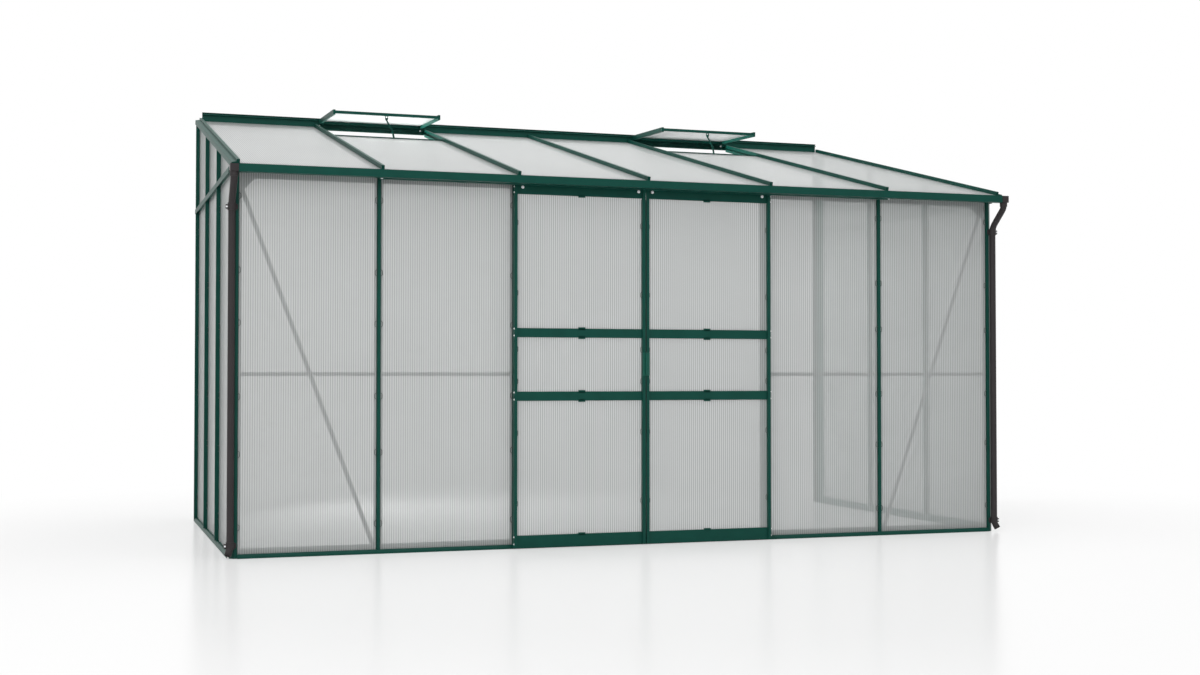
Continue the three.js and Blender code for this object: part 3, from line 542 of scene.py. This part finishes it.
class GREENHOUSE_OT_roof_sheets(bpy.types.Operator):
    """Glaze the roof, with a coated sill where a vent closes, and glaze the vents"""
    bl_idname = "greenhouse.roof_sheets"
    bl_label = "Roof sheets"

    def execute(self, context):
        eaves_end, ridge_end = -0.0924, 1.96767
        edge, overlap = 0.009, 0.0008
        sill_foot = (VENT_SILL_Y + SHEET_HALF * math.sin(ROOF_ANGLE)) / math.cos(ROOF_ANGLE)
        short = {node for _, _, node in VENTS}
        for i in range(6):
            node = f"roof_pane_{i + 1}"
            middle = (i - 2.5) * BAY
            end = sill_foot + overlap if node in short else ridge_end
            low = (middle - BAY / 2 + edge, eaves_end, -SHEET_HALF)
            high = (middle + BAY / 2 - edge, end, SHEET_HALF)
            fluted_sheet(f"roof_sheet_{i + 1}", low, high, X, Z, "pitched", "frame", (node,), place=ROOF)
        for side, middle, _ in VENTS:
            new_piece(f"vent_sill_{side}", vent_sill_mesh(middle, sill_foot), powder_coat(), "frame")
        half, front, rear, under = 0.2777, -0.4842, -0.0179, -0.005
        for side, middle, _ in VENTS:
            hinge = Matrix.Translation((middle, HINGE_Y, HINGE_Z)) @ Matrix.Rotation(VENT_TILT, 4, "X")
            low = (-half, front, under)
            high = (half, rear, under + 2 * SHEET_HALF)
            fluted_sheet(f"vent_sheet_{side}", low, high, X, Z, "pitched", f"vent_{side}",
                         (f"vent_{side}_pane",), place=hinge)
        return {"FINISHED"}


class GREENHOUSE_OT_door_sheets(bpy.types.Operator):
    """Glaze each door leaf with three sheets between its rails"""
    bl_idname = "greenhouse.door_sheets"
    bl_label = "Door sheets"

    def execute(self, context):
        levels = (("lower", 0.0613, 0.676), ("middle", 0.706, 0.9648), ("upper", 0.9944, 1.622))
        for side, _ in SIDES:
            node = f"door_{side}_pane"
            low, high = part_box(node)
            for level, bottom, top in levels:
                fluted_sheet(f"door_{side}_sheet_{level}", (low.x, low.y, bottom), (high.x, high.y, top),
                             X, Y, "upright", f"door_{side}", (node,) if level == "lower" else ())
        return {"FINISHED"}


def girt_mesh(s):
    """A channel along the backs of the bars, with its lips turned to the back."""
    inner, outer = s * (BAY + 0.004), s * (HALF_WIDTH - 0.012)
    foot, top = 0.783, 0.800
    wall, lip, depth, ease = 0.0018, 0.0015, 0.0035, 0.0003
    bm = bmesh.new()
    add_soft_box(bm, (inner, BAR_BACK - wall, foot), (outer, BAR_BACK, top), ease)
    for low in (foot, top - lip):
        add_soft_box(bm, (inner, BAR_BACK, low), (outer, BAR_BACK + depth, low + lip), ease)
    return bm


def brace_mesh(top, foot, width):
    """A strip between two points, given as X and Z, with a rib rolled along its middle."""
    depth_y, half, rib, ease = 0.0275, 0.0009, 0.0022, 0.0005
    rib_width = width * 0.4
    top, foot = (Vector((x, depth_y, z)) for x, z in (top, foot))
    run = top - foot
    rib_length = run.length * 0.94
    bm = bmesh.new()
    add_soft_box(bm, (-width / 2, -half, -run.length / 2), (width / 2, half, run.length / 2), ease)
    add_soft_box(bm, (-rib_width / 2, half, -rib_length / 2), (rib_width / 2, rib, rib_length / 2), ease)
    lean = Matrix.Rotation(math.atan2(run.x, run.z), 4, "Y")
    bmesh.ops.transform(bm, matrix=Matrix.Translation((top + foot) / 2) @ lean, verts=bm.verts)
    return bm


def gusset_mesh(s):
    """A plate in the upper corner, cut off aslant."""
    corner = s * (HALF_WIDTH - 0.010)
    foot, top, reach = 1.585, 1.662, 0.100
    front, back, ease = 0.0230, 0.0250, 0.0005
    slant_reach, slant_z, slant_drop = 0.085, 1.655, 0.075
    bm = bmesh.new()
    add_box(bm, (corner, front, foot), (corner - s * reach, back, top))
    slant = (corner - s * slant_reach, (front + back) / 2, slant_z)
    slice_off(bm, slant, (-s * slant_reach, 0, -slant_drop))
    soften(bm, bm.verts[:], ease, 1)
    return bm


class GREENHOUSE_OT_braces(bpy.types.Operator):
    """Fix girts, diagonal strips and corner gussets behind the front sheets"""
    bl_idname = "greenhouse.braces"
    bl_label = "Braces"

    def execute(self, context):
        width = context.scene.greenhouse_fittings.brace_width
        ends = {"left": ((-1.835, 1.588), (-1.262, 0.036)), "right": ((1.838, 1.600), (1.286, 0.036))}
        for side, s in SIDES:
            new_piece(f"girt_{side}", girt_mesh(s), mill_aluminium(), "frame")
            new_piece(f"brace_{side}", brace_mesh(*ends[side], width), mill_aluminium(), "frame")
            new_piece(f"gusset_{side}", gusset_mesh(s), powder_coat(), "frame")
        return {"FINISHED"}


def add_clip(bm, corner, over, out, reach):
    """A sprung wire clip: hooked in the bar's side at both ends and bowed over the sheet."""
    settings = bpy.context.scene.greenhouse_fittings
    corner, over, out = (Vector(v) for v in (corner, over, out))
    half = settings.clip_height / 2
    crest_half = half * 0.55
    hook, hook_out, bend_out, crest_out, sides = 0.0006, 0.0052, 0.0012, 0.0010, 6
    bow = [(hook, half, hook_out), (reach / 2, half, bend_out), (reach, crest_half, crest_out)]
    bow += [(a, -b, c) for a, b, c in reversed(bow)]
    add_tube(bm, [corner + over * a + UP * b + out * c for a, b, c in bow], settings.clip_wire, sides)


class GREENHOUSE_OT_clips(bpy.types.Operator):
    """Hold the sheets to the bars with sprung wire clips"""
    bl_idname = "greenhouse.clips"
    bl_label = "Glazing clips"

    def execute(self, context):
        reach = context.scene.greenhouse_fittings.clip_reach
        heights = (1.561, 1.240, 1.013, 0.694, 0.446, 0.132)
        post_edge = 0.0115
        edges = [(s * (HALF_WIDTH - post_edge), -s) for _, s in SIDES]
        bar_sides = ((2, 1), (2, -1), (1, 1))
        edges += [(s * (n * BAY + d * RIB_HALF), s * d) for _, s in SIDES for n, d in bar_sides]
        bm = bmesh.new()
        for x, over in edges:
            for z in heights:
                add_clip(bm, (x, -SHEET_HALF, z), (over, 0, 0), FRONT, reach)
        new_piece("front_clips", bm, spring_wire(), "frame", smooth=60)

        front_post, wall_post = 0.014, 1.8435
        edges = [(front_post, 1)]
        edges += [(y + d * RIB_HALF, d) for y in SIDE_BARS for d in (-1, 1)]
        edges += [(wall_post, -1)]
        for side, s in SIDES:
            face = s * (HALF_WIDTH + SIDE_INSET + SHEET_HALF)
            bm = bmesh.new()
            for y, over in edges:
                for z in heights:
                    add_clip(bm, (face, y, z), (0, over, 0), (s, 0, 0), reach)
            new_piece(f"{side}_clips", bm, spring_wire(), "frame", smooth=60)

        door_heights = (1.480, 1.160, 0.905, 0.758, 0.524, 0.205)
        inner_edge, outer_edge, face_y, door_reach = 0.0165, 0.621, -0.041, 0.006
        for side, s in SIDES:
            bm = bmesh.new()
            for x, over in ((s * inner_edge, s), (s * outer_edge, -s)):
                for z in door_heights:
                    add_clip(bm, (x, face_y, z), (over, 0, 0), FRONT, door_reach)
            new_piece(f"door_{side}_clips", bm, spring_wire(), f"door_{side}", smooth=60)
        return {"FINISHED"}


def door_bolt_mesh(s):
    """Screws on the top plate just below the rollers, and at the rails' ends on the outer stile."""
    hanger_y, hanger_z = -0.0500, 1.641
    stile_x, stile_y = 0.635, -0.0525
    bm = bmesh.new()
    for x in ROLLERS_X:
        add_screw(bm, (s * x, hanger_y, hanger_z), FRONT, *HANGER_SCREW)
    for z in (1.642, 1.616, 0.997, 0.966, 0.708, 0.676, 0.056, 0.024):
        add_screw(bm, (s * stile_x, stile_y, z), (s, 0, 0), *RAIL_SCREW)
    return bm


def door_tab_mesh(s):
    """Tabs on the rails that hold the sheets, each given with the side of the rail that it is on."""
    middle, half_width, half_height = 0.311, 0.0165, 0.006
    face, back, ease = -0.0470, -0.0413, 0.0004
    bm = bmesh.new()
    for z, up in ((0.0610, 1), (0.670, -1), (0.712, 1), (0.9588, -1), (1.0004, 1), (1.6096, -1)):
        add_soft_box(bm, (s * middle - half_width, face, z - up * half_height),
                     (s * middle + half_width, back, z + up * half_height), ease, 2)
    return bm


def door_pull_mesh(s):
    """A flat plate on the leaf's inner stile, with a grip that stands out from it."""
    foot, top, inner = 0.7845, 0.8915, 0.0004
    plate_edge, plate_front, plate_back = 0.0170, -0.0594, -0.0570
    grip_edge, grip_front, grip_back = 0.0054, -0.0735, -0.0575
    plate_ease, grip_ease = 0.0006, 0.0008
    bm = bmesh.new()
    add_soft_box(bm, (s * inner, plate_front, foot), (s * plate_edge, plate_back, top), plate_ease, 2)
    add_soft_box(bm, (s * inner, grip_front, foot), (s * grip_edge, grip_back, top), grip_ease, 2)
    return bm


def wheel_mesh(middle):
    """A grooved roller, spun about its axle from half of its section in radius and Y."""
    bore, edge, rim, groove = 0.0033, 0.0079, 0.0082, 0.0067
    half, shoulder, groove_top, groove_foot = 0.005, 0.0047, 0.0025, 0.0017
    section = [(bore, half), (edge, half), (rim, shoulder), (rim, groove_top), (groove, groove_foot)]
    rim_points = [(r, -y) for r, y in section] + section[::-1]
    bm = bmesh.new()
    ring = [bm.verts.new((r, y, 0)) for r, y in rim_points]
    edges = [bm.edges.new(pair) for pair in zip(ring, ring[1:] + ring[:1])]
    bmesh.ops.spin(bm, geom=ring + edges, cent=(0, 0, 0), axis=(0, 1, 0), angle=2 * math.pi, steps=40,
                   use_merge=True)
    bmesh.ops.remove_doubles(bm, verts=bm.verts[:], dist=MERGE)
    bmesh.ops.translate(bm, vec=middle, verts=bm.verts)
    return bm


class GREENHOUSE_OT_door_fittings(bpy.types.Operator):
    """Fit the doors' rollers, bolts, screws, sheet tabs and handles"""
    bl_idname = "greenhouse.door_fittings"
    bl_label = "Door fittings"

    def execute(self, context):
        axle_y, axle_z = -0.076, 1.6565
        for side, s in SIDES:
            body = f"door_{side}"
            new_piece(f"{body}_bolts", door_bolt_mesh(s), bright_zinc(), body, smooth=40)
            new_piece(f"{body}_tabs", door_tab_mesh(s), powder_coat(), body)
            new_piece(f"{body}_pull", door_pull_mesh(s), handle_coat(), body)
            for i, x in enumerate(ROLLERS_X, 1):
                roller = f"{body}_roller_{i}"
                new_piece(f"{roller}_wheel", wheel_mesh((s * x, axle_y, axle_z)), white_nylon(), roller,
                          (roller,), smooth=35)
        stop_x, stop_y, stop_z = 1.250, -0.1005, 1.652
        bm = bmesh.new()
        for _, s in SIDES:
            add_screw(bm, (s * stop_x, stop_y, stop_z), FRONT, *STOP_SCREW)
        new_piece("door_stop_heads", bm, bright_zinc(), "frame", smooth=40)
        return {"FINISHED"}


class GREENHOUSE_OT_frame_fittings(bpy.types.Operator):
    """Bolt the bars, braces and gussets together, and screw the ridge plate at the vents' corners"""
    bl_idname = "greenhouse.frame_fittings"
    bl_label = "Frame fittings"

    def execute(self, context):
        sill_z, beam_y, beam_z, girt_z = 0.031, 0.0227, 1.652, 0.7915
        brace_nuts = ((1.835, 0.0284, 1.588), (1.274, 0.0284, 0.048), (1.800, 0.0250, 1.645))
        bm = bmesh.new()
        for _, s in SIDES:
            for n in (1, 2):
                for y, z in ((BAR_BACK, sill_z), (beam_y, beam_z), (BAR_BACK, girt_z)):
                    add_nut(bm, (s * n * BAY, y, z), BACK)
            for x, y, z in brace_nuts:
                add_nut(bm, (s * x, y, z), BACK)
            for y in SIDE_BARS:
                add_nut(bm, (s * (HALF_WIDTH + SIDE_INSET - BAR_BACK), y, sill_z), (-s, 0, 0))
        screw_x, screw_z = 0.287, 2.1837
        for _, middle, _ in VENTS:
            for reach in (-screw_x, screw_x):
                add_screw(bm, (middle + reach, RIDGE_FACE_Y, screw_z), FRONT, *VENT_SCREW)
        new_piece("frame_bolts", bm, bright_zinc(), "frame", smooth=40)
        return {"FINISHED"}


def pipe_path(s):
    """From the gutter's outlet through the swan neck, down beside the corner post and out at the shoe."""
    outlet = Vector((s * OUTLET_X, OUTLET_Y, 0))
    axis = Vector((s * PIPE_X, PIPE_Y, 0))
    neck_top, elbow, bend, neck_foot = 1.650, 1.622, 1.532, 1.470
    straight_top, shoe_bend = 1.400, 0.046
    kick = Vector((s * 0.0105, -0.014, 0.017))
    neck_round, shoe_round, steps = 0.030, 0.022, 8
    neck = [outlet + UP * neck_top, outlet + UP * elbow, axis + UP * bend, axis + UP * neck_foot]
    straight = [axis + UP * straight_top, axis + UP * shoe_bend, axis + kick]
    return rounded(neck, neck_round, steps) + rounded(straight, shoe_round, steps)


def outlet_mesh(s):
    """A box open at the top on the gutter's end, with a round spigot under it."""
    low, high = (s * 1.8675, -0.142, 1.649), (s * 1.903, -0.102, 1.683)
    wall, depth, ease = 0.0024, 0.0315, 0.0008
    spigot_foot, spigot_top, spigot_radius = 1.630, 1.650, 0.0180
    bm = bmesh.new()
    add_box(bm, low, high)
    lid = [f for f in bm.faces if f.normal.z > 0.9]
    bmesh.ops.inset_region(bm, faces=lid, thickness=wall)
    bmesh.ops.translate(bm, vec=(0, 0, -depth), verts=lid[0].verts[:])
    soften(bm, bm.verts[:], ease, 2)
    outlet = Vector((s * OUTLET_X, OUTLET_Y, 0))
    add_rod(bm, outlet + UP * spigot_foot, outlet + UP * spigot_top, spigot_radius, PIPE_SIDES)
    return bm


def collar_mesh(s):
    """Two sockets with a bead at each end, a strap to the post behind each, and an ear for its screw."""
    half, radius = 0.014, 0.0176
    bead_half, bead_radius = 0.0015, 0.0186
    strap_x, strap_front, strap_back, strap_half = 1.858, -0.0156, -0.0133, 0.011
    ear_reach, ear_front, ear_back, ear_rise = 0.0266, -0.026, -0.018, 0.009
    strap_ease, ear_ease = 0.0006, 0.0025
    axis = Vector((s * PIPE_X, PIPE_Y, 0))
    bm = bmesh.new()
    for z in COLLARS_Z:
        middle = axis + UP * z
        add_rod(bm, middle - UP * half, middle + UP * half, radius, PIPE_SIDES)
        for rise in (-half, half):
            add_rod(bm, middle + UP * (rise - bead_half), middle + UP * (rise + bead_half), bead_radius,
                    PIPE_SIDES)
        add_soft_box(bm, (s * strap_x, strap_front, z - strap_half), (axis.x, strap_back, z + strap_half),
                     strap_ease, 2)
        add_soft_box(bm, (s * (PIPE_X + PIPE_RADIUS), ear_front, z - strap_half),
                     (s * (PIPE_X + ear_reach), ear_back, z + ear_rise), ear_ease, 3)
    return bm


class GREENHOUSE_OT_rainwater(bpy.types.Operator):
    """Hang the gutter outlets, swan necks, pipes, collars and shoes"""
    bl_idname = "greenhouse.rainwater"
    bl_label = "Rainwater pipes"

    def execute(self, context):
        screw_x, screw_y, screw_drop = 1.9062, -0.026, 0.001
        for side, s in SIDES:
            bm = bmesh.new()
            add_tube(bm, pipe_path(s), PIPE_RADIUS, PIPE_SIDES, caps=False)
            pipe = new_piece(f"pipe_{side}", bm, pipe_plastic(), "frame", smooth=30)
            wall = pipe.modifiers.new("wall", "SOLIDIFY")
            wall.thickness = 0.0024
            wall.offset = -1
            wall.use_even_offset = True
            new_piece(f"outlet_{side}", outlet_mesh(s), pipe_plastic(), "frame",
                      (f"rainwater_pipe_{side}",), smooth=35)
            new_piece(f"collars_{side}", collar_mesh(s), pipe_plastic(), "frame",
                      smooth=35)
            bm = bmesh.new()
            for z in COLLARS_Z:
                add_screw(bm, (s * screw_x, screw_y, z - screw_drop), FRONT, *COLLAR_SCREW)
            new_piece(f"collar_screws_{side}", bm, bright_zinc(), "frame", smooth=40)
        return {"FINISHED"}


def seen_share(owner):
    """A value of 1 for light that is seen straight, in a reflection or through a clear face, and else 0."""
    nodes = owner.node_tree.nodes
    rays = nodes.new("ShaderNodeLightPath")
    value = rays.outputs["Is Camera Ray"]
    for kind in ("Is Glossy Ray", "Is Transmission Ray"):
        either = nodes.new("ShaderNodeMath")
        either.operation = "MAXIMUM"
        link(owner, value, either.inputs[0])
        link(owner, rays.outputs[kind], either.inputs[1])
        value = either.outputs["Value"]
    return value


def pale_floor(colour):
    """A pale surface that fades to plain white away from the house."""
    material = bpy.data.materials.new("pale_floor")
    material.use_nodes = True
    nodes = material.node_tree.nodes
    shader = nodes["Principled BSDF"]
    shader.inputs["Base Color"].default_value = (*colour, 1)
    shader.inputs["Roughness"].default_value = 0.2
    shader.inputs["Specular IOR Level"].default_value = 0.2
    glow = nodes.new("ShaderNodeEmission")
    place = nodes.new("ShaderNodeTexCoord")
    away = nodes.new("ShaderNodeVectorMath")
    away.operation = "LENGTH"
    fade = nodes.new("ShaderNodeMapRange")
    fade.inputs["From Min"].default_value = 2.4
    fade.inputs["From Max"].default_value = 5.0
    fade.inputs["To Min"].default_value = 0.45
    fade.interpolation_type = "SMOOTHSTEP"
    share = nodes.new("ShaderNodeMath")
    share.operation = "MULTIPLY"
    blend = nodes.new("ShaderNodeMixShader")
    link(material, place.outputs["Object"], away.inputs[0])
    link(material, away.outputs["Value"], fade.inputs["Value"])
    link(material, fade.outputs["Result"], share.inputs[0])
    link(material, seen_share(material), share.inputs[1])
    link(material, share.outputs["Value"], blend.inputs["Fac"])
    link(material, shader.outputs["BSDF"], blend.inputs[1])
    link(material, glow.outputs["Emission"], blend.inputs[2])
    link(material, blend.outputs["Shader"], nodes["Material Output"].inputs["Surface"])
    return material


def even_sky(strength):
    """A world that lights at a set strength and is seen as plain white."""
    world = bpy.data.worlds.new("studio")
    world.use_nodes = True
    nodes = world.node_tree.nodes
    choose = nodes.new("ShaderNodeMixShader")
    link(world, seen_share(world), choose.inputs["Fac"])
    skies = ((nodes["Background"], strength), (nodes.new("ShaderNodeBackground"), 1.0))
    for i, (sky, power) in enumerate(skies, 1):
        sky.inputs["Strength"].default_value = power
        sky.inputs["Color"].default_value = (1, 1, 1, 1)
        link(world, sky.outputs["Background"], choose.inputs[i])
    link(world, choose.outputs["Shader"], nodes["World Output"].inputs["Surface"])
    return world


class GREENHOUSE_OT_stage(bpy.types.Operator):
    """Lay a pale floor that fades into the background, and light the house softly"""
    bl_idname = "greenhouse.stage"
    bl_label = "Stage"

    def execute(self, context):
        scene = context.scene
        settings = scene.greenhouse_stage
        bm = bmesh.new()
        bmesh.ops.create_circle(bm, cap_ends=True, segments=96, radius=60)
        mesh = bpy.data.meshes.new("floor")
        bm.to_mesh(mesh)
        bm.free()
        mesh.materials.append(pale_floor(settings.floor))
        floor = bpy.data.objects.new("floor", mesh)
        scene.collection.objects.link(floor)

        scene.world = even_sky(settings.fill)
        lamps = (("overhead", settings.overhead, (0.3, -0.4, 6.0), 6.0, (0, 0.5, 1.0)),
                 ("front", settings.front, (-6.0, -7.4, 4.0), 4.5, (0, 0.3, 1.0)),
                 ("back", settings.back, (-1.3, 2.55, 1.3), 1.1, (1.87, 0.9, 0.9)))
        for name, power, place, size, target in lamps:
            lamp = bpy.data.lights.new(name, "AREA")
            lamp.energy = power
            lamp.size = size
            lamp.shape = "DISK"
            holder = bpy.data.objects.new(name, lamp)
            holder.matrix_world = facing(place, Vector(target) - Vector(place))
            holder.visible_camera = False
            holder.visible_glossy = name != "back"
            scene.collection.objects.link(holder)
        scene.view_settings.view_transform = "Standard"
        scene.cycles.transparent_max_bounces = 40
        return {"FINISHED"}


class GREENHOUSE_PT_panel(bpy.types.Panel):
    """Lists the steps that build the greenhouse"""
    bl_idname = "GREENHOUSE_PT_panel"
    bl_label = "Lean-to greenhouse"
    bl_space_type = "VIEW_3D"
    bl_region_type = "UI"
    bl_category = "Greenhouse"

    def draw(self, context):
        for group in (context.scene.greenhouse_glazing, context.scene.greenhouse_finish,
                      context.scene.greenhouse_fittings, context.scene.greenhouse_stage):
            box = self.layout.box()
            for name in group.bl_rna.properties.keys():
                if name not in {"rna_type", "name"}:
                    box.prop(group, name)
        for operator in OPERATORS:
            self.layout.operator(operator.bl_idname)


SETTINGS = {"greenhouse_glazing": GlazingSettings, "greenhouse_finish": FinishSettings,
            "greenhouse_fittings": FittingSettings, "greenhouse_stage": StageSettings}
OPERATORS = (GREENHOUSE_OT_camera, GREENHOUSE_OT_coat, GREENHOUSE_OT_wall_sheets,
             GREENHOUSE_OT_roof_sheets, GREENHOUSE_OT_door_sheets, GREENHOUSE_OT_braces,
             GREENHOUSE_OT_clips, GREENHOUSE_OT_door_fittings, GREENHOUSE_OT_frame_fittings,
             GREENHOUSE_OT_rainwater, GREENHOUSE_OT_stage)


def register():
    for group in SETTINGS.values():
        bpy.utils.register_class(group)
    for name, group in SETTINGS.items():
        setattr(bpy.types.Scene, name, bpy.props.PointerProperty(type=group))
    for operator in OPERATORS:
        bpy.utils.register_class(operator)
    bpy.utils.register_class(GREENHOUSE_PT_panel)


def unregister():
    bpy.utils.unregister_class(GREENHOUSE_PT_panel)
    for operator in reversed(OPERATORS):
        bpy.utils.unregister_class(operator)
    for name in SETTINGS:
        delattr(bpy.types.Scene, name)
    for group in SETTINGS.values():
        bpy.utils.unregister_class(group)


def main():
    register()
    steps = bpy.ops.greenhouse
    steps.camera()
    steps.coat()
    steps.wall_sheets()
    steps.roof_sheets()
    steps.door_sheets()
    steps.braces()
    steps.clips()
    steps.door_fittings()
    steps.frame_fittings()
    steps.rainwater()
    steps.stage()


if __name__ == "__main__":
    main()
